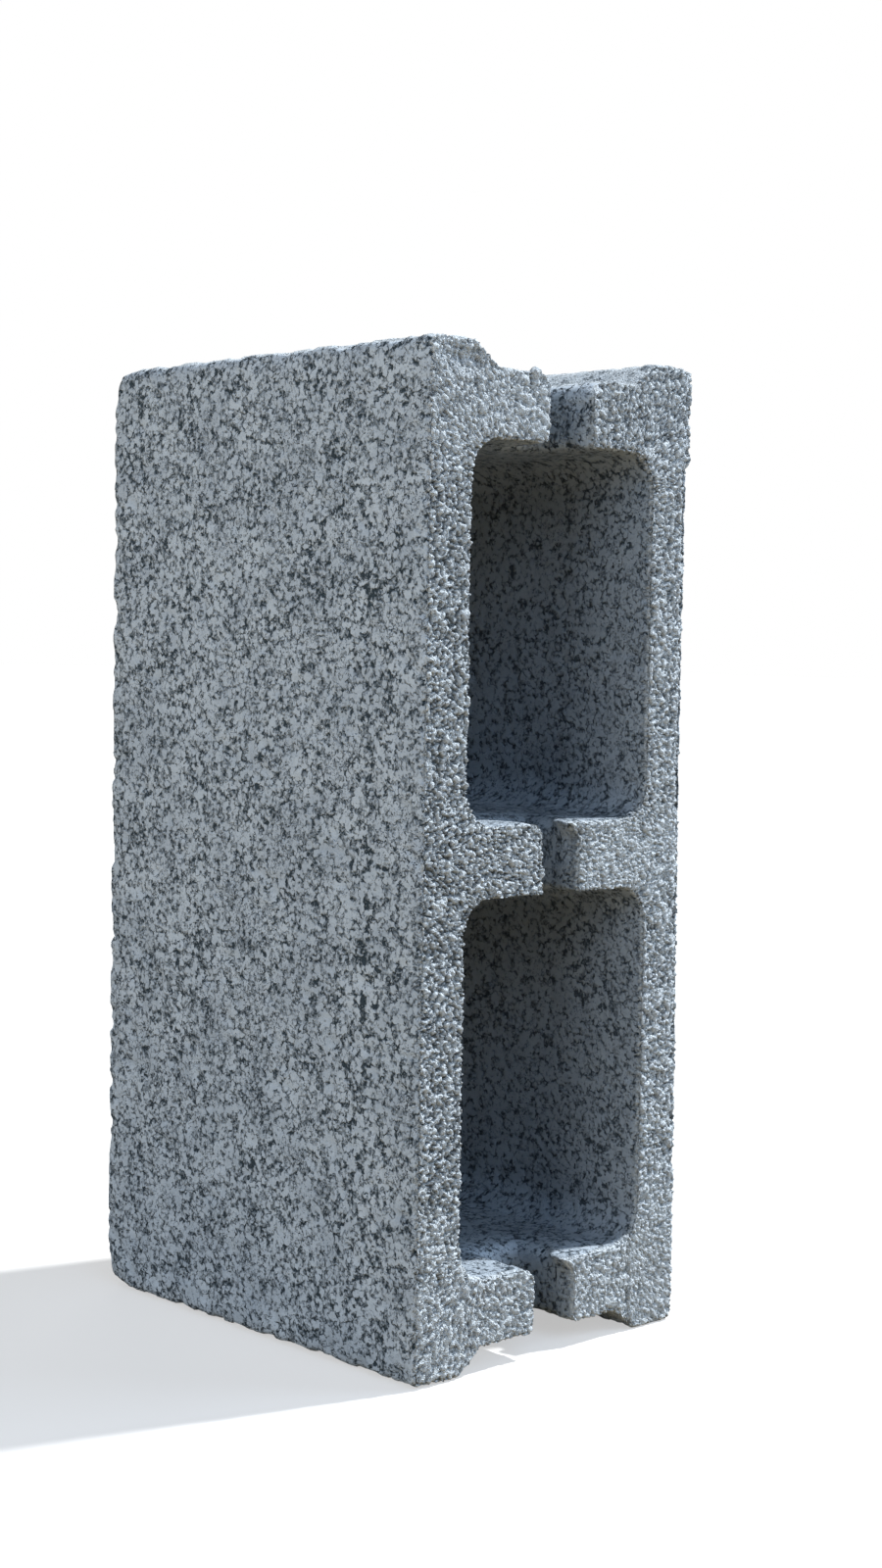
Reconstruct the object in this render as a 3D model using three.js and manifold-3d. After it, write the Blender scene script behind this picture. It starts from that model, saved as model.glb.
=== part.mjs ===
// Hollow concrete building block with two cores, stood on its end.
//
// Millimetres. The block is described as it leaves the mould, lying on its pallet: X runs across
// the wall, Y along the wall and Z up the course, with the struck face on top. The finished mesh
// is then turned to stand on its ears: +Z up, the struck face towards -Y, and the origin on the
// ground under its middle.

import * as THREE from 'three';
import { mergeVertices } from 'three/addons/utils/BufferGeometryUtils.js';
import Module from 'manifold-3d';

// Driving dimensions, mm
const blockWidth = 150;
const blockLength = 400;
const courseHeight = 200;

const shellThickness = 24; // the two long walls, at the struck face
const endWebThickness = 28; // the two end walls, at the struck face
const centreWebThickness = 29; // each wall between two cores, at the struck face
const coreCount = 2;
const coreCornerRadius = 14;
const coreDraft = 3; // how far each core wall leans in from the struck face to the pallet face

const earWidth = 24; // flat tip of each ear, across the wall
const earFlankRun = 12; // how far an ear's sloping flank reaches towards the middle
const endRecessDepth = 9.5;
const earTipRadius = 3;
const recessRootRadius = 5;
const cornerRadius = 4; // upright outer corners
const arris = 1.5; // worn edge round both bed faces

const barSlotWidth = 22; // left in every web by the bar that hangs the cores in the mould
const barSlotDepth = 30;
const barSlotDraft = 1; // how much narrower the slot is at its floor, each side
const barSlotFloorRadius = 5;
const webEdgeRound = 7; // where the slot runs out through a web's face

// Facets
const cornerSegments = 4;
const slotSegments = 3;
const edgeRoundSteps = 5;
const cutOvershoot = 5; // how far a cutter runs past the face that it opens

// Worked out from the above
const halfWidth = blockWidth / 2;
const halfLength = blockLength / 2;
const struckFace = courseHeight / 2;
const palletFace = -struckFace;
const coreWidth = blockWidth - 2 * shellThickness;
const webTotal = 2 * endWebThickness + (coreCount - 1) * centreWebThickness;
const coreLength = (blockLength - 2 * endRecessDepth - webTotal) / coreCount;
const corePitch = coreLength + centreWebThickness;

/** Outline through corners given as [x, y, radius], each turned on a round arc. */
function roundedOutline(corners) {
  const outline = new THREE.Shape();
  corners.forEach(([x, y, radius], index) => {
    const corner = new THREE.Vector2(x, y);
    const [previousX, previousY] = corners.at(index - 1);
    const [nextX, nextY] = corners[(index + 1) % corners.length];
    const back = new THREE.Vector2(previousX, previousY).sub(corner);
    const on = new THREE.Vector2(nextX, nextY).sub(corner);
    const halfSide = Math.min(back.length(), on.length()) / 2;
    back.normalize();
    on.normalize();
    const halfAngle = Math.acos(THREE.MathUtils.clamp(back.dot(on), -1, 1)) / 2;
    const tangent = Math.min(radius / Math.tan(halfAngle), halfSide);
    const arcRadius = tangent * Math.tan(halfAngle);
    const start = corner.clone().addScaledVector(back, tangent);
    const end = corner.clone().addScaledVector(on, tangent);
    if (index === 0) outline.moveTo(start.x, start.y);
    else outline.lineTo(start.x, start.y);
    if (arcRadius === 0) return;
    const toCentre = back.clone().add(on).setLength(arcRadius / Math.sin(halfAngle));
    const centre = corner.clone().add(toCentre);
    const startAngle = start.sub(centre).angle();
    const endAngle = end.sub(centre).angle();
    const clockwise = back.cross(on) > 0;
    outline.absarc(centre.x, centre.y, arcRadius, startAngle, endAngle, clockwise);
  });
  outline.closePath();
  return outline;
}

/** Rectangle about the origin with rounded corners. */
function roundedRectangle(width, length, radius) {
  const x = width / 2;
  const y = length / 2;
  return roundedOutline([
    [x, y, radius],
    [-x, y, radius],
    [-x, -y, radius],
    [x, -y, radius],
  ]);
}

/** Plan of the block: a long rectangle whose ends are hollowed between two ears. */
function blockPlan() {
  const tipX = halfWidth - earWidth;
  const rootX = tipX - earFlankRun;
  const rootY = halfLength - endRecessDepth;
  const end = [
    [halfWidth, halfLength, cornerRadius],
    [tipX, halfLength, earTipRadius],
    [rootX, rootY, recessRootRadius],
    [-rootX, rootY, recessRootRadius],
    [-tipX, halfLength, earTipRadius],
    [-halfWidth, halfLength, cornerRadius],
  ];
  const otherEnd = end.map(([x, y, radius]) => [-x, -y, radius]);
  return roundedOutline([...end, ...otherEnd]);
}

/** Solid prism of the block's plan, with the arrises of both bed faces taken off. */
function blankBody() {
  const body = new THREE.ExtrudeGeometry(blockPlan(), {
    depth: courseHeight - 2 * arris,
    curveSegments: cornerSegments,
    bevelSize: arris,
    bevelThickness: arris,
    bevelOffset: -arris,
    bevelSegments: 2,
  });
  return body.translate(0, 0, palletFace + arris);
}

/** Tapered plug of one core, centred on y, widest where it leaves the struck face. */
function corePlug(y) {
  const plug = new THREE.ExtrudeGeometry(roundedRectangle(coreWidth, coreLength, coreCornerRadius), {
    depth: courseHeight + 2 * cutOvershoot,
    curveSegments: cornerSegments,
    bevelEnabled: false,
  });
  plug.translate(0, 0, palletFace - cutOvershoot);
  const corners = plug.getAttribute('position');
  for (let index = 0; index < corners.count; index += 1) {
    const [cornerX, cornerY, z] = new THREE.Vector3().fromBufferAttribute(corners, index).toArray();
    const lean = (coreDraft * (struckFace - z)) / courseHeight;
    corners.setX(index, cornerX - Math.sign(cornerX) * lean);
    corners.setY(index, cornerY - Math.sign(cornerY) * lean);
  }
  return plug.translate(0, y, 0);
}

/** Stations [distance along the slot, widening] from the middle of a web out through its face. */
function webEdgeStations(webThickness) {
  const round = Math.min(webEdgeRound, webThickness / 2);
  const face = webThickness / 2;
  const stations = [];
  for (let step = 0; step <= edgeRoundSteps; step += 1) {
    const turn = (step / edgeRoundSteps) * (Math.PI / 2);
    stations.push([face - round + round * Math.sin(turn), round * (1 - Math.cos(turn))]);
  }
  stations.push([face + cutOvershoot, round]);
  return stations;
}

/** Cutter for the bar slot through one web centred on y: a drafted trough with trumpet mouths. */
function barSlot(y, webThickness) {
  const top = cutOvershoot;
  const slope = barSlotDraft / barSlotDepth;
  const topHalf = barSlotWidth / 2 + slope * top;
  const floorHalf = barSlotWidth / 2 - barSlotDraft;
  const trough = roundedOutline([
    [-topHalf, top, 0],
    [-floorHalf, -barSlotDepth, barSlotFloorRadius],
    [floorHalf, -barSlotDepth, barSlotFloorRadius],
    [topHalf, top, 0],
  ]);
  const outward = webEdgeStations(webThickness);
  const inward = outward.map(([distance, widening]) => [-distance, widening]).reverse();
  const stations = [...inward, ...outward];
  const last = stations.length - 1;
  const cutter = new THREE.ExtrudeGeometry(trough, {
    depth: last,
    steps: last,
    curveSegments: slotSegments,
    bevelEnabled: false,
  });
  const corners = cutter.getAttribute('position');
  for (let index = 0; index < corners.count; index += 1) {
    const [across, up, station] = new THREE.Vector3().fromBufferAttribute(corners, index).toArray();
    const [distance, widening] = stations[Math.round(station)];
    const drop = up < 0 ? widening : 0;
    corners.setXYZ(index, across + Math.sign(across) * widening, up - drop, distance);
  }
  cutter.rotateX(Math.PI / 2);
  return cutter.translate(0, y, struckFace);
}

const wasm = await Module();
wasm.setup();

/** Closed three.js geometry as a solid. */
function solidOf(geometry) {
  const bare = geometry.clone();
  bare.deleteAttribute('normal');
  bare.deleteAttribute('uv');
  const merged = mergeVertices(bare, 1e-4);
  return new wasm.Manifold(new wasm.Mesh({
    numProp: 3,
    vertProperties: new Float32Array(merged.getAttribute('position').array),
    triVerts: new Uint32Array(merged.getIndex().array),
  }));
}

/** Solid as a three.js geometry, flat shaded. */
function geometryOf(solid) {
  const { vertProperties, triVerts } = solid.getMesh();
  const indexed = new THREE.BufferGeometry();
  indexed.setAttribute('position', new THREE.BufferAttribute(vertProperties, 3));
  indexed.setIndex(new THREE.BufferAttribute(triVerts, 1));
  const faceted = indexed.toNonIndexed();
  faceted.computeVertexNormals();
  return faceted;
}

/** The whole block: the blank, less its cores, less a bar slot through every web. */
function concreteBlock() {
  let block = solidOf(blankBody());
  const firstCore = (-(coreCount - 1) * corePitch) / 2;
  for (let core = 0; core < coreCount; core += 1) {
    block = block.subtract(solidOf(corePlug(firstCore + core * corePitch)));
  }
  for (let web = 1; web < coreCount; web += 1) {
    const centre = firstCore + (web - 0.5) * corePitch;
    block = block.subtract(solidOf(barSlot(centre, centreWebThickness)));
  }
  const endWebCentre = halfLength - endRecessDepth - endWebThickness / 2;
  for (const side of [-1, 1]) {
    block = block.subtract(solidOf(barSlot(side * endWebCentre, endWebThickness)));
  }
  return block;
}

const concrete = new THREE.MeshStandardMaterial({
  color: '#98a1a7',
  roughness: 0.95,
  metalness: 0,
});

const block = new THREE.Mesh(geometryOf(concreteBlock()), concrete);
block.name = 'block';
block.rotation.x = Math.PI / 2;
block.position.z = halfLength;

const model = new THREE.Group();
model.name = 'concrete_block';
model.add(block);

export default model;
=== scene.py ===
import itertools
import math

import bpy
import numpy as np
from mathutils import Matrix, Vector


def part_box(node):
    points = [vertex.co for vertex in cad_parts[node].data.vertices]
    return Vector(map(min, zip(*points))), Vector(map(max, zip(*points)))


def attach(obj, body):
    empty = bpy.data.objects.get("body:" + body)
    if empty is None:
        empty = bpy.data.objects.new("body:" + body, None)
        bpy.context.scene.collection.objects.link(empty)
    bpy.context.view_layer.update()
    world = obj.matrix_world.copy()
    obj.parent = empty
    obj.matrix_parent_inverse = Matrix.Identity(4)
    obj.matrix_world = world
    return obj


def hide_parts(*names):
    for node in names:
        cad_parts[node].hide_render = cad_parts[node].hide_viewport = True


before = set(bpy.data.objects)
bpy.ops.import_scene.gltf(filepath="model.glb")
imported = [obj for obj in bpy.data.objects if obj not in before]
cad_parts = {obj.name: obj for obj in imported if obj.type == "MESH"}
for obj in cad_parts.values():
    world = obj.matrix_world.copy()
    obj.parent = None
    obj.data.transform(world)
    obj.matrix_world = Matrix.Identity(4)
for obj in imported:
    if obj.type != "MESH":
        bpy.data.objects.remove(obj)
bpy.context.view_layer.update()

# The block's plan. Semi-dry concrete is shaken and pressed into a steel box round two drafted core
# boxes, then stripped while still green. Everything is in millimetres, standing on the ears: X across
# the wall, Z along it, and Y from the struck face, which only the tamper touched, to the pallet face.
MM = 0.001
low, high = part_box("block")
half_width = (high.x - low.x) / 2 / MM
seam = (high.z + low.z) / 2 / MM
struck_face = low.y / MM
pallet_face = high.y / MM

shell = 24.0
end_web = 28.0
centre_web = 29.0
core_round = 14.0
core_draft = 3.0
ear_width = 24.0
flank_run = 12.0
end_recess = 9.5
ear_tip_round = 3.0
recess_root_round = 5.0
corner_round = 4.0
slot_half = 11.0
slot_depth = 30.0

core_half = half_width - shell
core_foot = end_recess + end_web
core_head = seam - centre_web / 2
core_middle = (core_foot + core_head) / 2
core_flat = core_half - core_round
ear_tip = half_width - ear_width
recess_root = ear_tip - flank_run
slot_floor = struck_face + slot_depth

# The grains of the struck face need small faces, and the moulded walls make do with larger ones, so
# the top of the block is a layer of its own. It is laid on the body, which shares every third point of
# its lowest row. A length under a hair counts as nought.
fine_pitch = 0.52
coarseness = 3
layer_depth = 10.0
cut = struck_face + layer_depth
hair = 1e-6


def count_of(run):
    """Number of equal steps of about the fine pitch in a run, a whole number of coarse steps."""
    return max(1, round(run / fine_pitch / coarseness)) * coarseness


def steps(start, end, count=None):
    """Points in equal steps from start up to, but not on, end."""
    start, end = np.asarray(start, float), np.asarray(end, float)
    count = count or count_of(np.linalg.norm(end - start))
    return start + (end - start) * np.arange(count)[:, None] / count


def arc(centre, radius, start, end, count):
    """Points on a circle, turning evenly about its centre from start up to, but not on, end, in degrees."""
    turn = np.radians(start + (end - start) * np.arange(count) / count)
    return np.asarray(centre) + radius * np.stack([np.cos(turn), np.sin(turn)], 1)


def rounded(before, corner, after, radius, count=12):
    """Arc that rounds a corner. Its centre lies on the bisector, radius / sin(half the angle) from it."""
    before, corner, after = (np.asarray(p, float) for p in (before, corner, after))
    back = (before - corner) / np.linalg.norm(before - corner)
    on = (after - corner) / np.linalg.norm(after - corner)
    half = math.acos(float(back @ on)) / 2
    centre = corner + (back + on) / np.linalg.norm(back + on) * radius / math.sin(half)
    first = corner + back * radius / math.tan(half) - centre
    last = corner + on * radius / math.tan(half) - centre
    share = np.linspace(0, 1, count + 1)[:, None]
    chord = first * (1 - share) + last * share
    return centre + radius * chord / np.linalg.norm(chord, axis=1)[:, None]


def spaced(path, count):
    """The path again in count equal lengths, without its last point."""
    run = np.concatenate([[0], np.cumsum(np.linalg.norm(np.diff(path, axis=0), axis=1))])
    at = run[-1] * np.arange(count) / count
    return np.stack([np.interp(at, run, path[:, axis]) for axis in (0, 1)], 1)


# A quarter of the plan is a row of columns round half of the lower core. Each joins a point of the
# core's outline to a point of the outside: the recessed end, the shell, the middle of the centre web.
foot_z, head_z = core_foot + core_round, core_head - core_round
end_outline = np.concatenate([
    [[core_flat, end_recess]],
    rounded((0, end_recess), (recess_root, end_recess), (ear_tip, 0), recess_root_round),
    rounded((recess_root, end_recess), (ear_tip, 0), (half_width, 0), ear_tip_round),
    rounded((ear_tip, 0), (half_width, 0), (half_width, core_middle), corner_round),
    [[half_width, foot_z]],
])
ear_run = 80.0
ear_count = count_of(ear_run)
rise_count = count_of(seam - head_z)
seam_count = count_of(half_width - core_flat)

core_plan = np.concatenate([
    steps((0, core_foot), (slot_half, core_foot)),
    steps((slot_half, core_foot), (core_flat, core_foot)),
    arc((core_flat, foot_z), core_round, -90, 0, ear_count),
    steps((core_half, foot_z), (core_half, head_z)),
    arc((core_flat, head_z), core_round, 0, 45, rise_count),
    arc((core_flat, head_z), core_round, 45, 90, seam_count),
    steps((core_flat, core_head), (slot_half, core_head)),
    steps((slot_half, core_head), (0, core_head)),
    [[0, core_head]],
])
outer_plan = np.concatenate([
    steps((0, end_recess), (slot_half, end_recess)),
    steps((slot_half, end_recess), (core_flat, end_recess)),
    spaced(end_outline, ear_count),
    steps((half_width, foot_z), (half_width, head_z)),
    steps((half_width, head_z), (half_width, seam), rise_count),
    steps((half_width, seam), (core_flat, seam), seam_count),
    steps((core_flat, seam), (slot_half, seam)),
    steps((slot_half, seam), (0, seam)),
    [[0, seam]],
])


def level_normals(plan, sign):
    """Unit normals of a plan: the step from the column before to the one after, turned a quarter."""
    step = np.gradient(plan, axis=0)
    normal = sign * np.stack([step[:, 1], np.zeros(len(step)), -step[:, 0]], 1)
    return normal / np.linalg.norm(step, axis=1)[:, None]


core_normals = level_normals(core_plan, -1)
outer_normals = level_normals(outer_plan, 1)
outer_normals[np.abs(outer_plan[:, 1] - seam) < hair] = [1, 0, 0]


def wall(columns, heights, draft):
    """Points on a wall that follows the plan, each row drawn in evenly to the core's middle by the draft."""
    heights = np.asarray(heights)[:, None]
    lean = draft * (heights - struck_face) / (pallet_face - struck_face)
    x = columns[:, 0] * (1 - lean / core_half)
    z = core_middle + (columns[:, 1] - core_middle) * (1 - lean / (core_middle - core_foot))
    return np.stack([x, np.broadcast_to(heights, x.shape), z], -1)


def web(core, outer, heights, share_count):
    """Points at equal shares of the way through the concrete, from the core's wall to the outside."""
    shares = np.linspace(0, 1, share_count + 1)[:, None, None, None]
    return wall(core, heights, core_draft) * (1 - shares) + wall(outer, heights, 0) * shares


def patch(grid, normal, kept=True, inner=False, joint=None):
    """Points, normals and four-sided faces of a grid. An inner patch closes a piece where it meets another,
    and a joint is the row of points at the cut between layer and body."""
    rows, count = grid.shape[:2]
    index = np.arange(rows * count).reshape(rows, count)
    kept = np.broadcast_to(kept, (rows - 1, count - 1))
    quads = np.stack([index[:-1, :-1], index[1:, :-1], index[1:, 1:], index[:-1, 1:]], -1)[kept]
    normals = np.broadcast_to(normal, grid.shape).reshape(-1, 3)
    joint = None if joint is None else index[joint]
    return dict(points=grid.reshape(-1, 3), normals=normals, faces=quads, many=[], inner=inner, joint=joint)


def cap(core, outer, up, solid, share_count):
    """Hidden level face at the cut: one face to a column, and beside a slot a fan of three-sided faces that
    takes up the slot wall's points."""
    ends = web(core, outer, [cut], 1)[:, 0]
    shape = patch(ends, (0, up, 0), solid, True)
    columns, cells = len(core), np.flatnonzero(solid)
    for edge in np.flatnonzero(solid[:-1] != solid[1:]) + 1:
        start = len(shape["points"])
        run = web(core[[edge]], outer[[edge]], [cut], share_count)[1:-1, 0, 0]
        shape["points"] = np.concatenate([shape["points"], run])
        line = [edge, *range(start, start + len(run)), edge + columns]
        other = [edge - 1, edge + 1][int(solid[edge])]
        half = len(line) // 2
        shape["many"] += [[other, *line[at:at + 2]] for at in range(half)]
        shape["many"] += [[other + columns, *line[at:at + 2]] for at in range(half, len(line) - 1)]
        shape["many"].append([other, line[half], other + columns])
        place = int(np.flatnonzero(cells == (edge if solid[edge] else edge - 1))[0])
        shape["faces"] = np.delete(shape["faces"], place, 0)
        cells = np.delete(cells, place)
    shape["normals"] = np.broadcast_to((0.0, up, 0.0), shape["points"].shape)
    return shape


def turned_out(shape):
    """The patch with every face wound to look along its normals."""
    points, normals = shape["points"], shape["normals"]
    quads = shape["faces"]
    area = np.cross(points[quads[:, 2]] - points[quads[:, 0]], points[quads[:, 3]] - points[quads[:, 1]])
    if (area * normals[quads[:, 0]]).sum() < 0:
        shape["faces"] = quads[:, ::-1]
    for place, face in enumerate(shape["many"]):
        ring = points[face]
        area = np.cross(ring, np.roll(ring, -1, axis=0)).sum(0)
        if area @ normals[face[0]] < 0:
            shape["many"][place] = face[::-1]
    return shape


def quarter(step, heights, share_count):
    """Patches of the lower right quarter of the block between two heights, with every step-th column: the
    core's wall, the outside, the top and bottom levels, the slots' walls and floors, the block's middle."""
    core, outer = core_plan[::step], outer_plan[::step]
    in_slot = np.abs(core[:, 0]) < slot_half + hair
    slot_cells = in_slot[1:] & in_slot[:-1]
    on_seam = np.abs(outer[:, 1] - seam) < hair
    seam_cells = on_seam[1:] & on_seam[:-1]
    top_joint, low_joint = abs(heights[0] - cut) < hair, abs(heights[-1] - cut) < hair
    joint = 0 if top_joint else -1
    kept = ~(((heights[1:] + heights[:-1]) / 2 < slot_floor)[:, None] & slot_cells)
    patches = [
        patch(wall(core, heights, core_draft), core_normals[::step], kept, joint=joint),
        patch(wall(outer, heights, 0), outer_normals[::step], kept & ~seam_cells, joint=joint),
    ]
    for height, up, joined in ((heights[0], -1.0, top_joint), (heights[-1], 1.0, low_joint)):
        solid = ~slot_cells if height < slot_floor else np.ones_like(slot_cells)
        if joined:
            patches.append(cap(core, outer, up, solid, share_count))
        else:
            patches.append(patch(web(core, outer, [height], share_count)[:, 0], (0, up, 0), solid))
    slot_rows = heights[heights < slot_floor + hair]
    floor_rows = heights[heights > slot_floor - hair]
    first, last = np.flatnonzero(slot_cells[:-1] != slot_cells[1:]) + 1
    for edge, run, middle in ((first, slice(None, first + 1), 0), (last, slice(last, None), -1)):
        grid = web(core[[edge]], outer[[edge]], slot_rows, share_count)[:, :, 0]
        patches.append(patch(grid, (-1, 0, 0), joint=(slice(None), joint)))
        if heights[-1] > slot_floor:
            grid = web(core[run], outer[run], [slot_floor], share_count)[:, 0]
            patches.append(patch(grid, (0, -1, 0)))
            grid = web(core[[middle]], outer[[middle]], floor_rows, share_count)[:, :, 0]
            patches.append(patch(grid, (-1, 0, 0), inner=True))
    return patches


def weld(patches):
    """One closed surface of the patches: points within a thousandth of a millimetre are made one, and the
    normals of the outer patches that meet there are added."""
    starts = np.concatenate([[0], np.cumsum([len(p["points"]) for p in patches])])
    points = np.concatenate([p["points"] for p in patches])
    normals = np.zeros_like(points)
    for start, p in zip(starts, patches):
        used = np.unique(p["faces"])
        if not p["inner"]:
            normals[start + used] = p["normals"][used]
    faces = np.concatenate([start + p["faces"] for start, p in zip(starts, patches)])
    many = [start + np.array(face) for start, p in zip(starts, patches) for face in p["many"]]
    per_mm, bits = 1000, 20
    place = np.round(points * per_mm).astype(np.int64) + (1 << (bits - 1))
    key = (place[:, 0] << (2 * bits)) + (place[:, 1] << bits) + place[:, 2]
    used = np.unique(np.concatenate([faces.ravel(), *many]))
    _, first, merged = np.unique(key[used], return_index=True, return_inverse=True)
    lookup = np.full(len(points), -1)
    lookup[used] = merged
    return dict(
        points=points[used][first],
        normals=np.stack([np.bincount(merged, normals[used][:, axis]) for axis in range(3)], 1),
        faces=lookup[faces],
        many=[lookup[face] for face in many],
        inner=np.concatenate([np.full(len(p["faces"]), p["inner"]) for p in patches]),
        joints=[lookup[start + p["joint"]] for start, p in zip(starts, patches) if p["joint"] is not None],
    )


def mirrored(shape, axis, middle):
    """A shape or patch turned over the plane at middle across an axis."""
    flip = np.ones(3)
    flip[axis] = -1
    points = shape["points"] * flip
    points[:, axis] += 2 * middle
    return {**shape, "points": points, "normals": shape["normals"] * flip, "many": list(shape["many"])}


def side(step, heights, share_count):
    """The right-hand side of the block: its lower quarter and the same turned over the seam, one surface."""
    lower = quarter(step, heights, share_count)
    upper = [mirrored(p, 2, seam) for p in lower]
    return weld([turned_out(p) for p in lower + upper])


def spread(start, end, pitch):
    """Heights in equal steps of about one pitch, from start to end."""
    return np.linspace(start, end, round((end - start) / pitch) + 1)


# The bar slots. A bar hangs the core boxes in the mould and is drawn up out of the green concrete, so that
# it leaves a trough across every web. The walls lean a little, no two slots are quite as wide, and a mouth is
# dragged rounder above its web than below it. A shift is how far a wall stands out from the drawn slot, in
# the foot, centre and head web. Here and further down, a pair is where a change starts and where it ends.
slot_draft = 1.0
upper_mouth_round = 7.0
lower_mouth_round = 2.0
upper_mouths = (core_foot, seam + centre_web / 2, 2 * seam - end_recess)
lower_mouths = (end_recess, core_head, 2 * seam - core_foot)
shift_levels = (core_foot, seam, 2 * seam - core_foot)
wall_shift = {"right": (2.4, 0.0, 3.4), "left": (-2.0, -2.8, -1.6)}
horn_reach = 7.5
horn_half = 8.0
horn_off_edge = 1.0
horn_fades = (7.0, 16.0)
horn_over_draw = (0.0, 0.3)
mouth_follows = 6.0
shift_fades = (26.0, 46.0)
beside_fades = (slot_half, 34.0)
below_fades = 22.0


def fade(value, start, end):
    """Smooth step from 0 at start to 1 at end: 3t^2 - 2t^3 of the share t of the way."""
    share = np.clip((value - start) / (end - start), 0, 1)
    return share * share * (3 - 2 * share)


def widened(points, hand):
    """Points moved by the slots. Walls and floors draw back from a web's edges on a quarter circle,
    r - sqrt(r^2 - t^2) at t into the mouth; on the right, the upper mouths into the cores close instead, in a
    short horn that is gone further down the slot. Each wall has its draft and its own shift. The concrete
    beside and below a slot follows, less with distance."""
    x, y, z = points.T
    draw, horn = np.zeros(len(points)), np.zeros(len(points))
    mouths = [(edge, 1, upper_mouth_round) for edge in upper_mouths]
    mouths += [(edge, -1, lower_mouth_round) for edge in lower_mouths]
    horned = upper_mouths[:2] if hand == "right" else ()
    for edge, sense, radius in mouths:
        height = sense * (edge - z)
        into = np.clip(radius - height, 0, radius)
        near = 1 - fade(np.abs(height), upper_mouth_round, upper_mouth_round + mouth_follows)
        draw = np.maximum(draw, (radius - np.sqrt(radius**2 - into**2)) * near)
        if edge in horned:
            rise = np.clip(1 - np.abs(height + horn_off_edge) / horn_half, 0, 1)
            horn = np.maximum(horn, rise * near)
    horn *= 1 - fade(y - struck_face, *horn_fades)
    shift = np.zeros(len(points))
    for out, middle in zip(wall_shift[hand], shift_levels):
        shift += out * (1 - fade(np.abs(z - middle), *shift_fades))
    depth = (y - struck_face) / slot_depth
    below = 1 - fade(y, slot_floor, slot_floor + below_fades)
    beside = 1 - fade(np.abs(x), *beside_fades)
    across = np.where(np.abs(x) < slot_half, np.abs(x) / slot_half, beside)
    down = np.where(depth < 1, depth, below)
    back = draw * (1 - fade(horn, *horn_over_draw)) - horn_reach * horn - slot_draft * np.minimum(depth, 1)
    moved = points.copy()
    moved[:, 0] += np.sign(x) * across * below * (back + shift)
    moved[:, 1] += draw * down * beside
    moved[np.abs(y - cut) < hair, 1] = cut
    return moved


# Arrises and inner corners. Green concrete slumps and rubs round at every edge as the mould comes off it,
# so none is sharp, inside or out.
full_arris = 0.25


def level(shape, points, normals):
    """Points of the cut and of the block's middle kept in their planes, and their normals level with them."""
    at_cut, at_middle = shape["at_cut"], shape["at_middle"]
    points[at_cut, 1] = cut
    normals[at_cut, 1] = 0
    points[at_middle, 0] = 0
    normals[at_middle, 0] = 0


def side_ends(faces):
    """The two ends of every side of every face, once each way round."""
    start, end = faces.ravel(), np.roll(faces, -1, axis=1).ravel()
    return np.concatenate([start, end]), np.concatenate([end, start])


def neighbour_mean(values, one, two):
    """Mean of the values at each point's neighbours, where two[i] is next to one[i], or its own with none."""
    share = np.bincount(one, minlength=len(values))[:, None]
    total = np.stack([np.bincount(one, values[two, axis], len(values)) for axis in range(3)], 1)
    return np.where(share > 0, total / np.maximum(share, 1), values)


def worn(shape, rounds):
    """Each point goes to the mean of its neighbours along the outer faces, rounds times over, and so does its
    normal. How much shorter that leaves the normal marks the arrises, fully from a quarter shorter."""
    one, two = side_ends(shape["faces"][~shape["inner"]])
    points, normals = shape["points"], shape["normals"]
    normals /= np.maximum(np.linalg.norm(normals, axis=1), hair)[:, None]
    for _ in range(rounds):
        points[:] = neighbour_mean(points, one, two)
        normals[:] = neighbour_mean(normals, one, two)
        level(shape, points, normals)
    length = np.linalg.norm(normals, axis=1)
    shape["arris"] = np.clip((1 - length) / full_arris, 0, 1)
    normals /= np.maximum(length, hair)[:, None]


def eased(shape, rounds):
    """Hidden points kept inside the outline once its relief is in: each goes to its neighbours' mean."""
    one, two = side_ends(shape["faces"])
    points = shape["points"]
    hidden = np.ones(len(points), bool)
    hidden[shape["faces"][~shape["inner"]]] = False
    near = hidden[one] | hidden[two]
    for _ in range(rounds):
        points[hidden] = neighbour_mean(points, one[near], two[near])[hidden]


# Random fields that the concrete's relief is made of. Each is worked out from the place alone, so that
# pieces that share a point agree on it. A field is its parts: how much of each, lumps of what size, and a
# salt, a whole number that tells it from the others.
index_primes = (73856093, 19349663, 83492791)
salt_prime, salt_start = 40503, 977
mixing_factors = (0x7FEB352D, 0x846CA68B)


def chance(cell, salt):
    """Even random number from 0 to 1 for every whole-number cell: its three indices times a prime each, mixed
    with the salt by exclusive or, then by shifts and factors."""
    cell = cell.astype(np.int64).astype(np.uint32)
    one, two, three = (cell[..., axis] * np.uint32(index_primes[axis]) for axis in range(3))
    mixed = one ^ two ^ three ^ np.uint32(salt * salt_prime + salt_start)
    for factor in mixing_factors:
        mixed ^= mixed >> np.uint32(15)
        mixed *= np.uint32(factor)
    mixed ^= mixed >> np.uint32(16)
    return mixed / 2.0**32


def swell(points, size, salt):
    """Smooth random field from -1 to 1 with lumps of a size: chance() at the corners of a cell, blended."""
    at = points / size
    cell = np.floor(at)
    share = at - cell
    share = share * share * (3 - 2 * share)
    total = np.zeros(len(points))
    for corner in itertools.product((0, 1), repeat=3):
        weight = np.prod(np.where(corner, share, 1 - share), axis=1)
        total += weight * chance(cell + corner, salt)
    return 2 * total - 1


def field(points, parts):
    """Sum of a field's parts."""
    return sum(much * swell(points, size, salt) for much, size, salt in parts)


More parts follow.
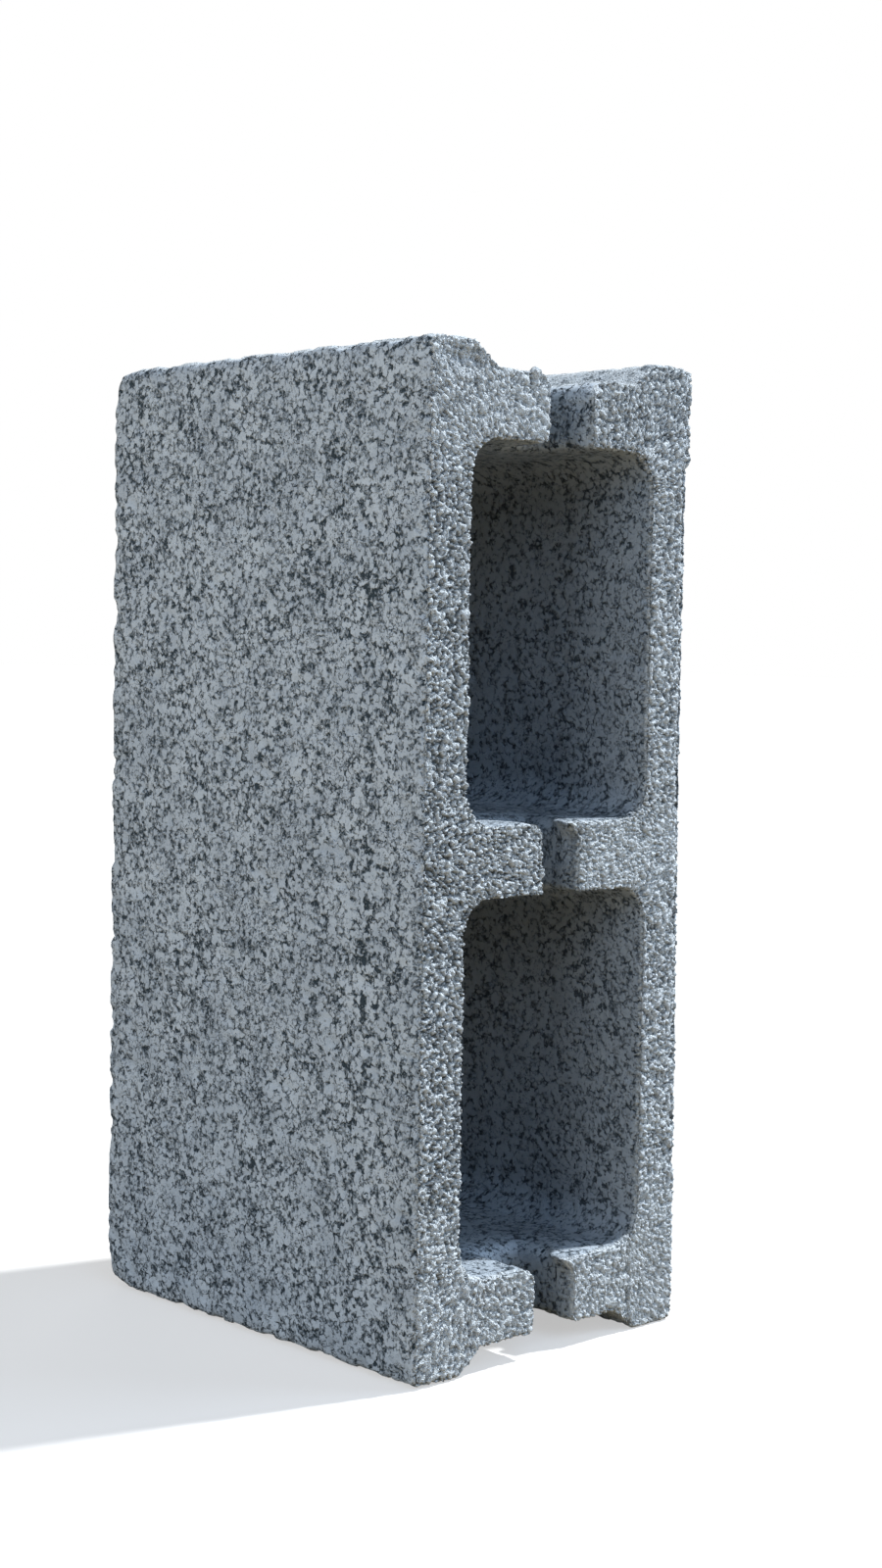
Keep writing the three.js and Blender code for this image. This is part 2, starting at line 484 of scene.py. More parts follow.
def grains(points, normals, pitch, salt, largest):
    """Height of the highest grain over each point. One ball lies in every cell of the pitch, at random, with
    a radius from the smallest to the largest share of it. Where a ball's centre is buried between the two
    limits, its top stands at its place along the normal plus sqrt(r^2 - distance^2)."""
    smallest, margin, room = 0.4, 0.1, 0.8
    deepest, shallowest, none = -0.9 * pitch, 0.12 * pitch, -1.2 * pitch
    home = np.floor(points / pitch)
    best = np.full(len(points), none)
    for offset in itertools.product((-1, 0, 1), repeat=3):
        cell = home + offset
        jitter = np.stack([chance(cell, salt + axis) for axis in range(3)], 1)
        centre = (cell + margin + room * jitter) * pitch
        radius = pitch * (smallest + (largest - smallest) * chance(cell, salt + 3) ** 2)
        away = centre - points
        along = (away * normals).sum(1)
        across = (away * away).sum(1) - along * along
        inside = radius * radius - across
        top = along + np.sqrt(np.maximum(inside, 0))
        buried = (inside > 0) & (along < shallowest) & (along > deepest)
        best = np.where(buried & (top > best), top, best)
    return best


# The struck face. The tamper only beats the concrete level, so every grain of the crushed stone stands
# free, with gaps between them. It lies calmer over the foot, at the top left and right of the centre web,
# and rougher to the left. Its arrises are rougher still, but for the topmost.
fine_grain, fine_largest = 1.25, 0.72
middling_grain, middling_largest, middling_sink = 2.6, 0.62, 0.65
grain_bend = (0.4, 1.9, 20)
grain_sink = 0.95
deepest_gap = -2.4
rolling = ((0.5, 19, 30), (0.4, 8, 31))
rolling_height = 0.45
pockets = ((1.0, 4.2, 33), (0.4, 2.3, 34))
pocket_depth, pocket_fades = 0.8, (0.25, 1.0)
calm_foot = (45, 85)
calm_top = (335, 365)
calm_web = (8, 24)
right_of_slot = (8, 20)
calmer, rougher_to_left, arris_rougher = 0.35, 0.12, 0.6
topmost = (378, 386)


def struck_skin(points, normals, arris):
    """Height of the struck face, nought or less: the tops of two sizes of grain, whose outlines are bent a
    little, raised and sunk by the rolling of the face, less pockets where grains fell out."""
    x, _, z = points.T
    reach, size, salt = grain_bend
    bent = points + reach * np.stack([swell(points, size, salt + axis) for axis in range(3)], 1)
    fine = grains(bent, normals, fine_grain, 1, fine_largest)
    middling = grains(bent, normals, middling_grain, 5, middling_largest) - middling_sink
    standing = np.maximum(fine, middling) - grain_sink + rolling_height * field(points, rolling)
    standing = np.clip(standing, deepest_gap, 0)
    right = fade(x, *right_of_slot)
    calm = 1 - fade(z, *calm_foot) + fade(z, *calm_top) * (1 - right)
    calm = calm + (1 - fade(np.abs(z - seam), *calm_web)) * right
    standing *= (1 - calmer * np.clip(calm, 0, 1)) * (1 - rougher_to_left * x / half_width)
    standing -= pocket_depth * fade(field(points, pockets), *pocket_fades)
    return standing * (1 + arris_rougher * arris * (1 - fade(z, *topmost)))


# The moulded faces. The steel cuts every grain off at the same level, so they are flat, with a shallow bowl
# where a coarse grain fell short of it. The two ends are more open than the shells.
bowls = ((1.0, 4.4, 40), (0.55, 2.9, 41))
bowl_depth, bowl_fades = 0.95, (0.35, 1.0)
end_bowls = ((1.0, 5.5, 45), (0.7, 3.1, 46))
end_bowl_depth, end_bowl_fades = 0.9, (-0.3, 0.9)
moulded_rolling = 0.1
still_by_cut, still_by_middle = 3, 4
end_slant, end_places = (0.5, 0.9), (seam - 14, seam - 11)


def stilled(points):
    """The points, with fields held level near where pieces meet: the distance from the cut, and from the
    block's middle, is taken times 1 - exp(-(distance / reach)^2)."""
    still = points.copy()
    from_middle, from_cut = points[:, 0], points[:, 1] - cut
    still[:, 0] = from_middle * (1 - np.exp(-((from_middle / still_by_middle) ** 2)))
    still[:, 1] = cut + from_cut * (1 - np.exp(-((from_cut / still_by_cut) ** 2)))
    return still


def end_share(points, normals):
    """1 on the faces that look along Z at the foot and at the top, 0 elsewhere."""
    return fade(np.abs(normals[:, 2]), *end_slant) * fade(np.abs(points[:, 2] - seam), *end_places)


def moulded_skin(still, end):
    """Height of a moulded face, nought or less: bowls where their field is high, wider ones too on an end,
    and a faint rolling."""
    bowl = bowl_depth * fade(field(still, bowls), *bowl_fades)
    end_bowl = end_bowl_depth * end * fade(field(still, end_bowls), *end_bowl_fades)
    return -bowl - moulded_rolling + moulded_rolling * field(still, rolling) - end_bowl


# Where the two skins meet. The grain of the struck face runs over its arrises and ends on a ragged line a
# few millimetres down, further down in the slots and in the cores than on the outside.
ragged = ((0.9, 2.2, 43), (1.3, 6, 44))
struck_edge = (0.6, 2.6)
struck_slant = (0.3, 0.8)
edge_share = 0.85
end_grain = 0.7
slot_stretch, core_stretch = 0.3, 0.5
slot_zone, core_zone = slot_half + 3, core_half + 0.5
struck_end = slot_floor - 8


def struck_share(points, normals):
    """1 on the struck face and 0 on the moulded ones, by the slant of the normal and the depth below the
    face, counted ragged and slower in the slots and cores. None of it lies near a slot's floor."""
    x, y, _ = points.T
    stretch = np.where(np.abs(x) < core_zone, core_stretch, 1.0)
    stretch = np.where(np.abs(x) < slot_zone, slot_stretch, stretch)
    below = (y - struck_face + field(points, ragged)) * stretch
    share = np.maximum(fade(-normals[:, 1], *struck_slant), edge_share * (1 - fade(below, *struck_edge)))
    return share * (y < struck_end)


# Wear. Blocks are stripped, stacked and thrown, which takes lumps off their arrises and corners. The right
# arris of the struck face is chipped, more so higher up. A flake is lost at the left ear and another at the
# right mouth of the top slot: how deep, where, and how far it reaches along X, Y and Z. A few crumbs are
# left on the struck face: where across and up, how wide from the middle, and how high.
arris_lumps, lump_fades = ((0.5, 7, 60), (1.0, 3.6, 61)), (-0.4, 0.9)
arris_reach, arris_start, worn_arris = 8, 1.2, 0.6
arris_least, arris_most = 0.1, 1.5
corner_reach, corner_power, corner_depth, corner_lumps = 22, 1.6, 3.6, (0.8, 4, 62)
chip_depth = 1.7
chip_across, chip_from, chip_to, chip_down = (69, 73), (60, 250), (358, 361), (2, 8)
flakes = (
    (1.8, (-57, struck_face, 391.5), (8, 4, 4)),
    (4.5, (15, struck_face, 388.5), (6, 5, 2.6)),
)
crumb_bed = 1.5
crumb_places = (
    (-18, 391, 3.2, 2.2),
    (27, 391, 3.0, 1.4),
    (-8, 391, 2.2, 1.2),
    (-42, 37, 3.0, 0.8),
    (44, 215, 2.6, 0.8),
)


def wear(points, arris):
    """How much the arrises and the corners of the block have lost: lumps of two sizes along an arris, less
    with the way to two of the block's planes together, and a corner by a power of what is left of its reach
    less the way to all three."""
    lumps = fade(field(points, arris_lumps), *lump_fades)
    x, y, z = points.T
    planes = np.stack([half_width - np.abs(x), pallet_face - y, seam - np.abs(z - seam)])
    planes = np.sort(planes, axis=0)
    edge = np.clip(arris_start - (planes[0] + planes[1]) / arris_reach, 0, 1)
    edge = np.maximum(worn_arris * arris, edge)
    corner = np.clip(1 - planes.sum(0) / corner_reach, 0, 1) ** corner_power
    corner *= corner_depth + field(points, (corner_lumps,))
    return edge * (arris_least + arris_most * lumps) + corner


def chipping(points):
    """How much the right arris of the struck face and the flakes have lost: a flake is its depth times
    exp(-d^2), d being the distance from its middle in reaches."""
    x, y, z = points.T
    chipped = fade(x, *chip_across) * fade(z, *chip_from) * (1 - fade(z, *chip_to))
    lost = chip_depth * chipped * (1 - fade(y - struck_face, *chip_down))
    for depth, middle, reach in flakes:
        lost += depth * np.exp(-(((points - middle) / reach) ** 2).sum(1))
    return lost


def crumbs(points):
    """Height of the loose crumbs: a dome over each, height (1 - d^2 / r^2), nought past its radius, about a
    middle a little under the struck face."""
    raised = np.zeros(len(points))
    for x, z, radius, height in crumb_places:
        away = ((points - (x, struck_face + crumb_bed, z)) ** 2).sum(1)
        raised = np.maximum(raised, height * np.clip(1 - away / radius**2, 0, 1))
    return raised


def relief(shape):
    """How far each point moves along its normal, inwards for less than nought: the struck and the moulded
    skin by their shares, less wear on the moulded part and chipping, plus crumbs. Also what the material
    reads: how deep a point lies between grains, which it paints darker as shade, and how free they
    stand, for which the ends count in part."""
    points, normals, arris = shape["points"], shape["normals"], shape["arris"]
    still, end, struck = stilled(points), end_share(points, normals), struck_share(points, normals)
    between = struck * struck_skin(points, normals, arris) + (1 - struck) * moulded_skin(still, end)
    between = np.minimum(between, 0)
    lost = (1 - struck) * wear(still, arris) + chipping(points)
    return between - lost + crumbs(points), -between, np.maximum(struck, end_grain * end)


# How open the skin is. It is so in patches; beside the struck face the tamper closes it in a band, and a
# core box or the bar smears it as it is drawn past. On the left shell a row of pits runs up the block
# next to the band.
patches = ((0.6, 16, 50), (0.5, 6.5, 51))
tamped_fades, tamped_waves, tamped_shut = (8, 17), (3, 9, 52), 0.3
row_y, row_waves, row_fades = -68, (1.2, 12, 53), (1.2, 3.4)
row_from, row_to = (110, 150), (310, 345)
row_breaks, break_fades, row_open = ((1.0, 5, 54), (0.5, 18, 55)), (-0.3, 0.4), 2.2
shell_skin = half_width - 5
drawn_core, drawn_slot = core_half + 1, slot_half + 3
drawn_height, drawn_floor = seam - core_foot + 1, slot_floor + 1
drawn_from, drawn_to = struck_face + 3, pallet_face - 1


def openness(points):
    """How open the moulded faces are, from -1 where they are closed and smooth to 3: the patches, less the
    tamped band, plus the row of pits. Also which points a core box or the bar was drawn past."""
    x, y, z = points.T
    drawn = (np.abs(x) < drawn_core) & (np.abs(z - seam) < drawn_height)
    drawn |= (np.abs(x) < drawn_slot) & (y < drawn_floor)
    drawn &= (y > drawn_from) & (y < drawn_to)
    tamped = 1 - fade(y - struck_face + field(points, (tamped_waves,)), *tamped_fades)
    row = 1 - fade(np.abs(y - row_y + field(points, (row_waves,))), *row_fades)
    row *= fade(z, *row_from) * (1 - fade(z, *row_to)) * (x < -shell_skin)
    row *= fade(field(points, row_breaks), *break_fades)
    return np.clip(field(points, patches) - tamped_shut * tamped * ~drawn + row_open * row, -1, 3), drawn


# The block in four closed pieces: the struck layer and the cast body of its right and its left. They are
# one casting, cut only so that no piece has too many faces, and they share the points along every cut.
# Rounds are how often arrises are worn and hidden points eased.
layer_pitch = 0.77
body_pitch = 1.85
web_cells = 16
layer_rounds, body_rounds, hidden_rounds = 6, 2, 30
skin_measures = ("sunk", "struck", "open", "drawn")


def with_planes(shape):
    """The shape, with its points at the cut and at the block's middle marked."""
    at_cut = np.abs(shape["points"][:, 1] - cut) < hair
    return {**shape, "at_cut": at_cut, "at_middle": np.abs(shape["points"][:, 0]) < hair}


def dressed(shape, hand, rounds):
    """A copy of the shape for one hand: slots widened, arrises worn, mirrored if it is the left, every point
    moved along its normal by the relief, and no point proud of the struck face."""
    shape = {**shape, "points": widened(shape["points"], hand), "normals": shape["normals"].copy()}
    worn(shape, rounds)
    if hand == "left":
        shape = mirrored(shape, 0, 0)
        shape["faces"] = shape["faces"][:, ::-1]
        shape["many"] = [face[::-1] for face in shape["many"]]
    depth, shape["sunk"], shape["struck"] = relief(shape)
    on_skin = np.abs(shape["normals"]).sum(1) > 0.5
    shape["points"] = shape["points"] + shape["normals"] * np.where(on_skin, depth, 0)[:, None]
    shape["points"][:, 1] = np.maximum(shape["points"][:, 1], struck_face)
    shape["open"], shape["drawn"] = openness(shape["points"])
    return shape


def laid(upper_row, lower_row, upper_points, lower_points):
    """The layer's lowest row laid on the straight lines between the body's points, every third of which it
    shares. A row holds places of points, or -1 where it has none."""
    near, far = lower_row[:-1], lower_row[1:]
    used = (near >= 0) & (far >= 0)
    for part in range(coarseness):
        share = part / coarseness
        line = lower_points[near[used]] * (1 - share) + lower_points[far[used]] * share
        upper_points[upper_row[part:-1:coarseness][used]] = line
    ends = (lower_row >= 0) & (upper_row[::coarseness] >= 0)
    upper_points[upper_row[::coarseness][ends]] = lower_points[lower_row[ends]]


def mesh_of(name, shape):
    """Mesh of a shape, in metres. Its hidden faces are flat and meet the smooth outer ones in sharp edges, so
    that they don't bend the shading of the outer ones."""
    faces, many = shape["faces"], shape["many"]
    corners = np.concatenate([faces.ravel(), *many])
    sizes = np.concatenate([np.full(len(faces), 4), [len(face) for face in many]])
    mesh = bpy.data.meshes.new(name)
    mesh.vertices.add(len(shape["points"]))
    mesh.vertices.foreach_set("co", (shape["points"] * MM).astype(np.float32).ravel())
    mesh.loops.add(len(corners))
    mesh.loops.foreach_set("vertex_index", corners.astype(np.int32))
    mesh.polygons.add(len(sizes))
    mesh.polygons.foreach_set("loop_start", (np.cumsum(sizes) - sizes).astype(np.int32))
    smooth = np.concatenate([~shape["inner"], np.zeros(len(many), bool)])
    mesh.polygons.foreach_set("use_smooth", smooth)
    for measure in skin_measures:
        attribute = mesh.attributes.new(measure, "FLOAT", "POINT")
        attribute.data.foreach_set("value", shape[measure].astype(np.float32))
    mesh.update(calc_edges=True)
    mesh.validate()
    edges, smooth = np.empty(len(corners), np.int32), np.repeat(smooth, sizes)
    mesh.loops.foreach_get("edge_index", edges)
    sharp = np.zeros(len(mesh.edges), bool)
    sharp[np.intersect1d(edges[smooth], edges[~smooth])] = True
    mesh.attributes.new("sharp_edge", "BOOLEAN", "EDGE").data.foreach_set("value", sharp)
    return mesh


layer_rows = spread(struck_face, cut, layer_pitch)
slot_rows = spread(cut, slot_floor, body_pitch)
body_rows = np.concatenate([slot_rows, spread(slot_floor, pallet_face, body_pitch)[1:]])
layer = with_planes(side(1, layer_rows, web_cells * coarseness))
body = with_planes(side(coarseness, body_rows, web_cells))

pieces = []
for hand in ("right", "left"):
    upper, lower = dressed(layer, hand, layer_rounds), dressed(body, hand, body_rounds)
    for upper_row, lower_row in zip(upper["joints"], lower["joints"]):
        laid(upper_row, lower_row, upper["points"], lower["points"])
    for name, shape in (("struck_layer_" + hand, upper), ("cast_body_" + hand, lower)):
        eased(shape, hidden_rounds)
        piece = bpy.data.objects.new(name, mesh_of(name, shape))
        bpy.context.scene.collection.objects.link(piece)
        pieces.append(piece)

# Vibrated concrete: cement, sand and crushed stone with just enough water to be pressed. Dry, it is
# quite matt and blue-grey, and where the mould pressed it flat it shows open gaps between grains, whose
# shade is painted into the colour.
pale_paste = "#aeb9c3"
grey_paste = "#98a3ae"
struck_paste = "#bfc7cc"
# Painted shade: the paste on the walls of the cores and slots is darkened towards this colour.
core_shade_paste = "#78828b"
# Painted shade: the colour that gaps, deep places between grains and the feet of crumbs are darkened towards.
gap_shade_colour = "#27343c"


def linear(hexed):
    """Linear colour of an sRGB hex value: ((c + 0.055) / 1.055)^2.4, or c / 12.92 when c is small."""
    parts = [int(hexed[k:k + 2], 16) / 255 for k in (1, 3, 5)]
    return (*[c / 12.92 if c <= 0.04045 else ((c + 0.055) / 1.055) ** 2.4 for c in parts], 1.0)


def node(owner, kind, inputs=(), **settings):
    """Node of a kind with its settings. Inputs pair a socket's name or place with a value or a link."""
    made = owner.node_tree.nodes.new("ShaderNode" + kind)
    for key, value in settings.items():
        setattr(made, key, value)
    for key, value in dict(inputs).items():
        if isinstance(value, bpy.types.NodeSocket):
            owner.node_tree.links.new(value, made.inputs[key])
        else:
            made.inputs[key].default_value = value
    return made


concrete = bpy.data.materials.new("vibrated_concrete")
concrete.use_nodes = True
concrete.node_tree.nodes.clear()

where = node(concrete, "TexCoord").outputs["Object"]
in_mm = node(concrete, "Mapping", {"Vector": where, "Scale": (1 / MM, 1 / MM, 1 / MM)}).outputs[0]
sunk, struck, open_at, drawn = (
    node(concrete, "Attribute", attribute_name=measure).outputs["Fac"] for measure in skin_measures
)

# Outlines of grains are bent by up to about a millimetre, so that none is a clean polygon. A Math node of
# kind MULTIPLY_ADD gives socket 0 times 1 plus 2, and a MapRange maps 0 from the range 1 to 2 on 3 to 4.
bends_per_mm, bend_reach = 0.7, 2.2
bend = node(concrete, "TexNoise", {"Vector": in_mm, "Scale": bends_per_mm, "Detail": 0.0}).outputs["Color"]
bend = node(concrete, "VectorMath", {0: bend, 1: (0.5, 0.5, 0.5)}, operation="SUBTRACT").outputs[0]
reach = (bend_reach, bend_reach, bend_reach)
bent = node(concrete, "VectorMath", {0: bend, 1: reach, 2: in_mm}, operation="MULTIPLY_ADD").outputs[0]

# Three layers of grain, 3.7, 2.1 and 1.9 mm across, the last set apart so that it differs from the others. A
# grain is round, its top falling off with the square of the distance from its middle, and some lie deeper
# than others. A layer is its place, how many grains go to a millimetre, how fast they fall off, how high
# the highest stands and how much lower the lowest.
set_apart = (31.0, 17.0, 43.0)
apart = node(concrete, "VectorMath", {0: bent, 1: set_apart}, operation="ADD").outputs[0]
layers = (
    (bent, 0.27, 3.6, 1.4, 2.2),
    (bent, 0.48, 2.6, 1.1, 1.7),
    (apart, 0.53, 2.4, -0.05, 0.6),
)
blend = 0.25
tops = None
for place, per_mm, fall, highest, drop in layers:
    stone = node(concrete, "TexVoronoi", {"Vector": place, "Scale": per_mm})
    lot = node(concrete, "SeparateColor", {0: stone.outputs["Color"]}).outputs[0]
    stands = node(concrete, "Math", {0: lot, 1: -drop, 2: highest}, operation="MULTIPLY_ADD").outputs[0]
    away = node(concrete, "Math", {0: stone.outputs["Distance"], 1: 2.0}, operation="POWER").outputs[0]
    top = node(concrete, "Math", {0: away, 1: -fall, 2: stands}, operation="MULTIPLY_ADD").outputs[0]
    if tops:
        top = node(concrete, "Math", {0: tops, 1: top, 2: blend}, operation="SMOOTH_MAX").outputs[0]
    tops = top

# The mould cuts every grain off at the same level, so the pressed faces are flat lands between open gaps.
# Gaps widen where a slow roughness or the openness of the skin sinks the tops, and none goes below
# gap_floor. Where the skin is closed, some of the sand has left pinholes in the lands.
roughs_per_mm, rough_lift = 0.65, 2.0
open_drop = 0.3
top_slope, mould_level = 1.15, -1.0
land_edge, gap_floor = 0.4, -1.7
rough = node(concrete, "TexNoise", {"Vector": in_mm, "Scale": roughs_per_mm, "Detail": 2.0}).outputs["Fac"]
tops = node(concrete, "Math", {0: rough, 1: rough_lift, 2: tops}, operation="MULTIPLY_ADD").outputs[0]
tops = node(concrete, "Math", {0: open_at, 1: -open_drop, 2: tops}, operation="MULTIPLY_ADD").outputs[0]
tops = node(concrete, "Math", {0: tops, 1: top_slope, 2: mould_level}, operation="MULTIPLY_ADD").outputs[0]
land = node(concrete, "Math", {0: tops, 1: 0.0, 2: land_edge}, operation="SMOOTH_MIN").outputs[0]
land = node(concrete, "Math", {0: land, 1: gap_floor}, operation="MAXIMUM").outputs[0]

sand_per_mm = 1.15
hole_rim, hole_floor, hole_deepest = 0.5, 0.25, 1.3
chosen_from, chosen_to = 0.6, 0.8
closed_skin = -0.8
struck_from, struck_to = 0.35, 0.95
sand = node(concrete, "TexVoronoi", {"Vector": bent, "Scale": sand_per_mm})
lot = node(concrete, "SeparateColor", {0: sand.outputs["Color"]}).outputs[0]
sand = sand.outputs["Distance"]
chosen = node(concrete, "MapRange", {0: lot, 1: chosen_from, 2: chosen_to}).outputs[0]
pinhole = node(concrete, "MapRange", {0: sand, 1: hole_rim, 2: hole_floor, 3: 0.0, 4: 1.0}).outputs[0]
pinhole = node(concrete, "Math", {0: pinhole, 1: chosen}, operation="MULTIPLY").outputs[0]
hole_depth = node(
    concrete, "MapRange", {0: open_at, 1: 0.0, 2: closed_skin, 3: 0.0, 4: -hole_deepest}
).outputs[0]
land = node(concrete, "Math", {0: pinhole, 1: hole_depth, 2: land}, operation="MULTIPLY_ADD").outputs[0]
moulded = node(
    concrete, "MapRange", {0: struck, 1: struck_from, 2: struck_to, 3: 1.0, 4: 0.0}
).outputs[0]
land = node(concrete, "Math", {0: land, 1: moulded}, operation="MULTIPLY").outputs[0]

# Sand and cement crumbs under a millimetre, on the struck face and the ends, and fine dust on every face.
crumb_fall, loose_from = 0.85, 0.5
dust_per_mm, dust_height = 2.4, 0.2
bump_height = 0.8 * MM
crumb = node(concrete, "Math", {0: sand, 1: sand}, operation="MULTIPLY").outputs[0]
loose = node(concrete, "MapRange", {0: struck, 1: 0.0, 2: loose_from}).outputs[0]
crumb = node(concrete, "Math", {0: crumb, 1: loose}, operation="MULTIPLY").outputs[0]
dust = node(concrete, "TexNoise", {"Vector": in_mm, "Scale": dust_per_mm, "Detail": 0.0}).outputs["Fac"]
height = node(concrete, "Math", {0: crumb, 1: -crumb_fall, 2: land}, operation="MULTIPLY_ADD").outputs[0]
height = node(concrete, "Math", {0: dust, 1: dust_height, 2: height}, operation="MULTIPLY_ADD").outputs[0]
bump = node(concrete, "Bump", {"Height": height, "Distance": bump_height, "Strength": 1.0}).outputs["Normal"]

# Colour: blue-grey cement paste, a little lighter or darker in clouds and paler on the struck face. Painted
# shade darkens the paste on the walls of the cores and slots, which a core box or the bar was drawn past,
# and also the gaps, the deep places between grains and the foot of every crumb.
clouds_per_mm, cloud_rough, cloud_from, cloud_to = 0.06, 0.7, 0.5, 1.2
core_shade_share, smear_fills = 0.58, 0.1
# Painted shade: the depth of the lands at which a gap is darkest and how dark it gets, the depth between
# grains over which places darken, and how dark the feet of crumbs are.
gap_black, gap_darkest = -1.15, 0.97
pit_from, pit_to, pit_darkest = 0.6, 2.6, 0.6
crumb_shade = 0.3
matt, shine = 0.93, 0.1
cloud = node(concrete, "TexNoise", {"Vector": in_mm, "Scale": clouds_per_mm, "Detail": 1.0}).outputs["Fac"]
cloud = node(concrete, "Math", {0: rough, 1: cloud_rough, 2: cloud}, operation="MULTIPLY_ADD").outputs[0]
cloud = node(
    concrete, "MapRange", {0: cloud, 1: cloud_from, 2: cloud_to}, interpolation_type="SMOOTHSTEP"
).outputs[0]
paste = node(
    concrete, "Mix", {0: cloud, 6: linear(grey_paste), 7: linear(pale_paste)}, data_type="RGBA"
).outputs[2]
paste = node(concrete, "Mix", {0: struck, 6: paste, 7: linear(struck_paste)}, data_type="RGBA").outputs[2]
# Painted shade: the paste is darkened on the walls that a core box or the bar was drawn past, inside the
# cores and slots.
core_shade = node(concrete, "Math", {0: drawn, 1: core_shade_share}, operation="MULTIPLY").outputs[0]
paste = node(concrete, "Mix", {0: core_shade, 6: paste, 7: linear(core_shade_paste)}, data_type="RGBA").outputs[2]
# Painted shade: the gaps between lands, the places that lie deep between grains and the feet of crumbs are
# darkened.
gap_shade = node(concrete, "MapRange", {0: land, 1: 0.0, 2: gap_black, 3: 0.0, 4: gap_darkest}).outputs[0]
filled = node(concrete, "Math", {0: drawn, 1: -smear_fills, 2: 1.0}, operation="MULTIPLY_ADD").outputs[0]
gap_shade = node(concrete, "Math", {0: gap_shade, 1: filled}, operation="MULTIPLY").outputs[0]
pit_shade = node(
    concrete,
    "MapRange",
    {0: sunk, 1: pit_from, 2: pit_to, 3: 0.0, 4: pit_darkest},
    interpolation_type="SMOOTHSTEP",
).outputs[0]
painted_shade = node(concrete, "Math", {0: gap_shade, 1: pit_shade}, operation="MAXIMUM").outputs[0]
painted_shade = node(
    concrete, "Math", {0: crumb, 1: crumb_shade, 2: painted_shade}, operation="MULTIPLY_ADD", use_clamp=True
).outputs[0]
colour = node(concrete, "Mix", {0: painted_shade, 6: paste, 7: linear(gap_shade_colour)}, data_type="RGBA").outputs[2]
surface = node(
    concrete,
    "BsdfPrincipled",
    {"Base Color": colour, "Roughness": matt, "Specular IOR Level": shine, "Normal": bump},
).outputs[0]
node(concrete, "OutputMaterial", {"Surface": surface})

for piece in pieces:
    piece.data.materials.append(concrete)
    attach(piece, "root")
    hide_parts("block")

# The floor: one pale, matt sheet under the block. Where a ray sees it, half of its light is its own, so that
# it shows almost white and still keeps the shadow. What it throws back on the block is a warm grey.
floor_reach = 20.0
sheet_white, bounce_grey = "#ededec", "#847356"
sheet_glow = 0.5


def seen_rays(owner):
    """1 for a ray that shows the background itself, straight, mirrored or through glass, and 0 for one that
    only brings its light."""
    path = node(owner, "LightPath").outputs
    straight, glossed, through = (path[f"Is {kind} Ray"] for kind in ("Camera", "Glossy", "Transmission"))
    seen = node(owner, "Math", {0: straight, 1: glossed}, operation="MAXIMUM").outputs[0]
    return node(owner, "Math", {0: seen, 1: through}, operation="MAXIMUM").outputs[0]


pale_floor = bpy.data.materials.new("pale_floor")
pale_floor.use_nodes = True
pale_floor.node_tree.nodes.clear()
seen = seen_rays(pale_floor)
sheet = node(pale_floor, "BsdfDiffuse", {"Color": linear(sheet_white)}).outputs[0]
bounce = node(pale_floor, "BsdfDiffuse", {"Color": linear(bounce_grey)}).outputs[0]
glow = node(pale_floor, "Emission", {"Color": linear("#ffffff"), "Strength": 1.0}).outputs[0]
sheet = node(pale_floor, "MixShader", {0: sheet_glow, 1: sheet, 2: glow}).outputs[0]
mixed = node(pale_floor, "MixShader", {0: seen, 1: bounce, 2: sheet}).outputs[0]
node(pale_floor, "OutputMaterial", {"Surface": mixed})

corners = [(x * floor_reach, y * floor_reach, 0) for x, y in ((-1, -1), (1, -1), (1, 1), (-1, 1))]
floor_mesh = bpy.data.meshes.new("studio_floor")
floor_mesh.from_pydata(corners, [], [(0, 1, 2, 3)])
floor_mesh.materials.append(pale_floor)
floor = bpy.data.objects.new("studio_floor", floor_mesh)
bpy.context.scene.collection.objects.link(floor)

# Light: a key lamp almost overhead that grazes the struck face; bluish front and sky lamps that reach into
# the cores, with a weak one behind the block; and a wide fill on the left shell, in an even pale room.


def lamp(name, kind, strength, width, hexed, place, aim):
    """Lamp at a place, in metres, that shines at aim. Its width is a sun's angle or the side of an area."""
    light = bpy.data.lights.new(name, kind)
    light.energy = strength
    light.color = linear(hexed)[:3]
    setattr(light, "angle" if kind == "SUN" else "size", width)
    holder = bpy.data.objects.new(name, light)
    holder.location = place
    holder.rotation_euler = (Vector(place) - Vector(aim)).to_track_quat("Z", "Y").to_euler()
    bpy.context.scene.collection.objects.link(holder)


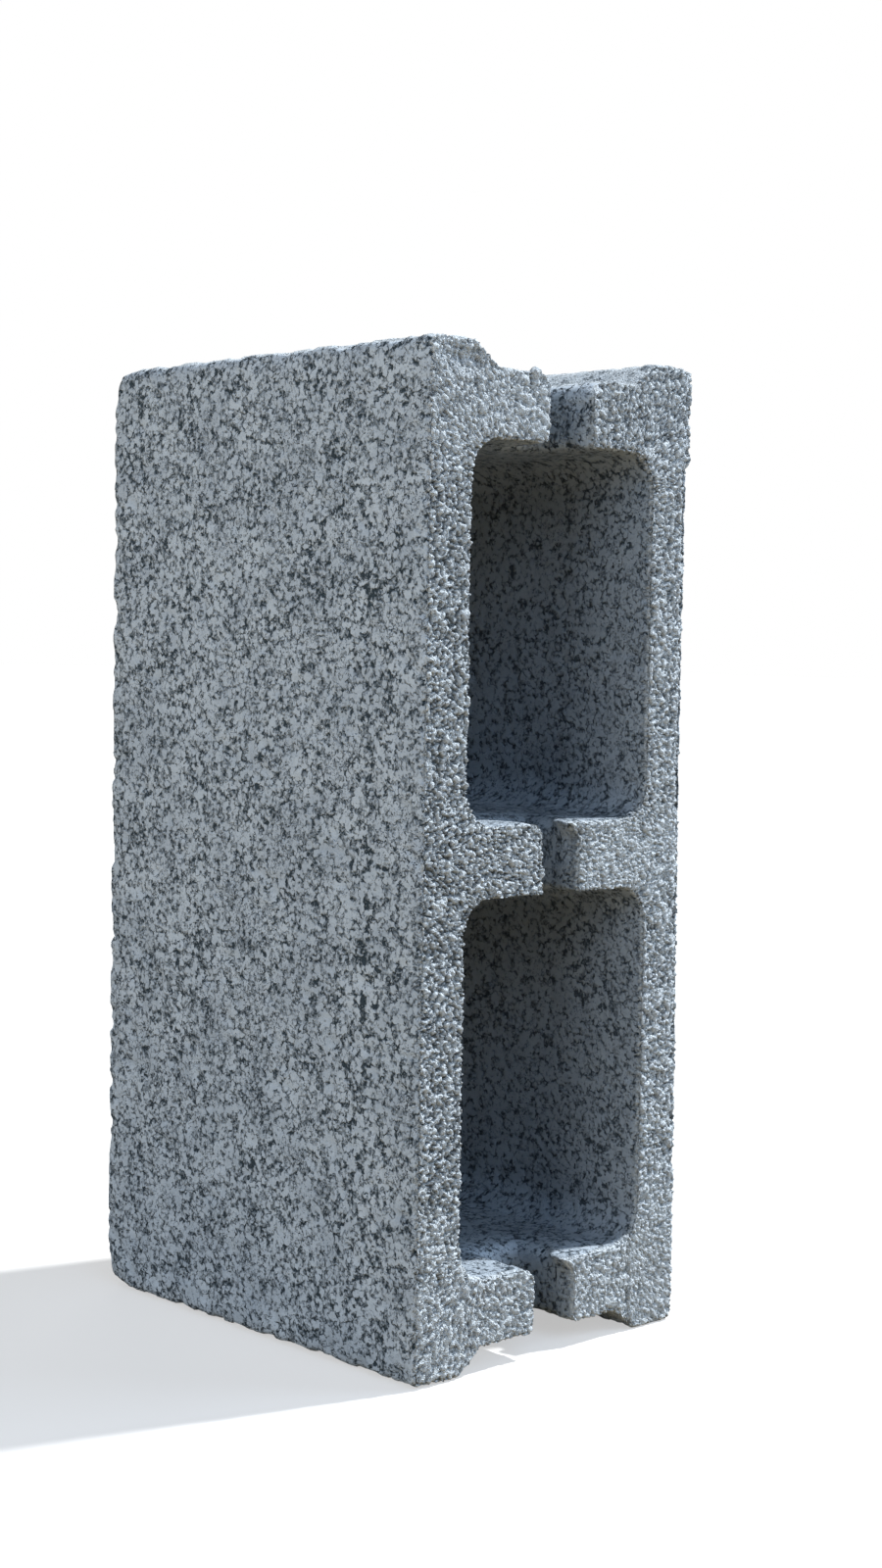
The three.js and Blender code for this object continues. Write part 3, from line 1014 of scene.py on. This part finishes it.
foot, middle, below_middle = (0, 0, 0), (0, 0, 0.2), (0, 0, 0.15)
lamp("key_lamp", "SUN", 6.3, width=math.radians(3), hexed="#ffffff", place=(0.6, -0.17, 1.0), aim=foot)
lamp("front_lamp", "AREA", 48, width=1.2, hexed="#cde1f8", place=(1.9, -1.6, 0.8), aim=middle)
lamp("sky_lamp", "AREA", 19, width=1.6, hexed="#c4dcfa", place=(-0.6, -1.85, 1.65), aim=middle)
lamp("back_lamp", "AREA", 16, width=1.4, hexed="#ffffff", place=(1.7, 2.0, 0.9), aim=middle)
lamp("fill_lamp", "AREA", 46, width=1.8, hexed="#f2f7fd", place=(-2.35, -0.2, 0.65), aim=below_middle)

room_blue, room_strength = "#dfebfc", 0.09
room = bpy.data.worlds.new("pale_room")
bpy.context.scene.world = room
room.use_nodes = True
room.node_tree.nodes.clear()
seen = seen_rays(room)
dim = node(room, "Background", {"Color": linear(room_blue), "Strength": room_strength}).outputs[0]
white = node(room, "Background", {"Color": linear("#ffffff"), "Strength": 1.0}).outputs[0]
mixed = node(room, "MixShader", {0: seen, 1: dim, 2: white}).outputs[0]
node(room, "OutputWorld", {"Surface": mixed})

# Camera: a normal lens, a little above the block's middle and under a metre from its nearest edge.
azimuth, pitch, roll = math.radians(43.88), math.radians(3.38), math.radians(0.98)
camera_place = (-0.67362, -0.73106, 0.28320)
lens_mm = 53.488
clip_end = 100

forward = Vector((math.sin(azimuth) * math.cos(pitch), math.cos(azimuth) * math.cos(pitch), -math.sin(pitch)))
across = Vector((math.cos(azimuth), -math.sin(azimuth), 0))
over = across.cross(forward)
tilted_across = math.cos(roll) * across + math.sin(roll) * over
tilted_over = math.cos(roll) * over - math.sin(roll) * across
turn = Matrix((tilted_across, tilted_over, -forward)).transposed().to_4x4()
camera_data = bpy.data.cameras.new("camera")
camera_data.lens = lens_mm
camera_data.clip_end = clip_end
camera = bpy.data.objects.new("camera", camera_data)
camera.matrix_world = Matrix.Translation(camera_place) @ turn
bpy.context.scene.collection.objects.link(camera)
bpy.context.scene.camera = camera
bpy.context.scene.view_settings.view_transform = "Standard"
